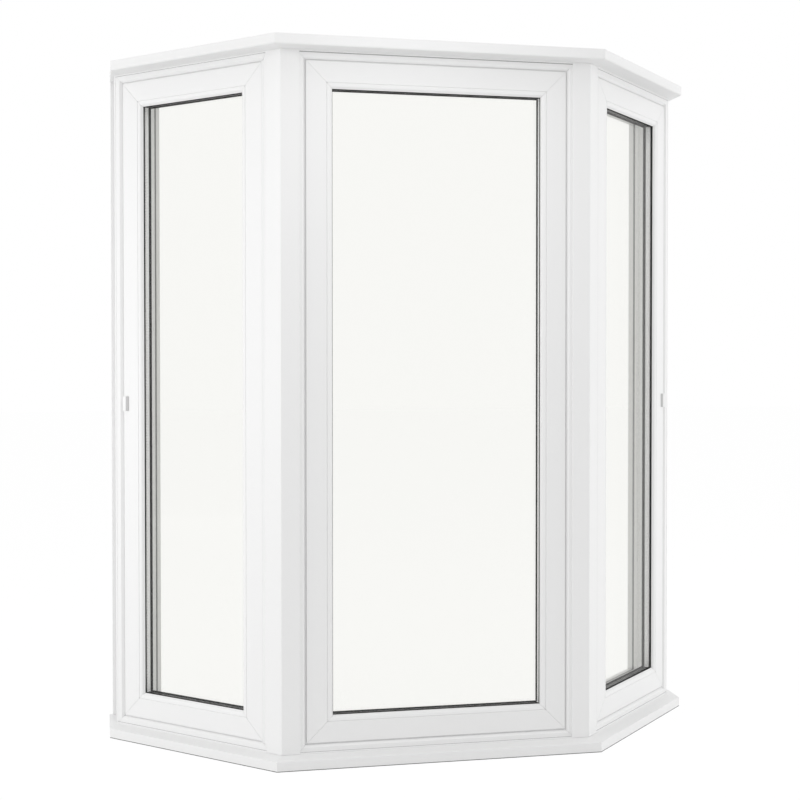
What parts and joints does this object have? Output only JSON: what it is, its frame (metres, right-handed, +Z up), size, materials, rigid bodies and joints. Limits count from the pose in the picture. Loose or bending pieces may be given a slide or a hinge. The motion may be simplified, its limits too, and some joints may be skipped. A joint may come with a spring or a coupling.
{
  "type": "bay window",
  "caption": "White canted bay window: tall casements on a front and two slanted sides, corner posts, head board and sloping sill.",
  "frame": {"origin": "middle of the bounding box in X and Y, on the underside of the sill", "axes": "+X right along the house wall as seen from outside, +Y into the house, +Z up"},
  "size_m": [1.8142, 0.6002, 2],
  "materials": {
    "white_profile": "satin white plastic window profile",
    "white_board": "satin white plastic board",
    "white_cap": "satin moulded white plastic",
    "white_handle": "white powder coat, satin",
    "clear_glass": "clear float glass",
    "spacer_bar": "bright rolled aluminium",
    "black_gasket": "matt black rubber"
  },
  "bodies": {
    "root": {"head_board_left": "white_board", "head_board_centre": "white_board", "head_board_right": "white_board", "sill_left": "white_board", "sill_centre": "white_board", "sill_right": "white_board", "bay_post_left": "white_profile", "wall_jamb_left": "white_profile", "cover_strip_left": "white_board", "hinge_cap_left": "white_cap", "bay_post_right": "white_profile", "wall_jamb_right": "white_profile", "cover_strip_right": "white_board", "hinge_cap_right": "white_cap", "frame_left": "white_profile", "sash_left": "white_profile", "glazing_bead_left": "white_profile", "outer_pane_left": "clear_glass", "inner_pane_left": "clear_glass", "spacer_left": "spacer_bar", "outer_gasket_left": "black_gasket", "inner_gasket_left": "black_gasket", "handle_left": "white_handle", "frame_centre": "white_profile", "sash_centre": "white_profile", "glazing_bead_centre": "white_profile", "outer_pane_centre": "clear_glass", "inner_pane_centre": "clear_glass", "spacer_centre": "spacer_bar", "outer_gasket_centre": "black_gasket", "inner_gasket_centre": "black_gasket", "handle_centre": "white_handle", "frame_right": "white_profile", "sash_right": "white_profile", "glazing_bead_right": "white_profile", "outer_pane_right": "clear_glass", "inner_pane_right": "clear_glass", "spacer_right": "spacer_bar", "outer_gasket_right": "black_gasket", "inner_gasket_right": "black_gasket", "handle_right": "white_handle"}
  },
  "joints": []
}
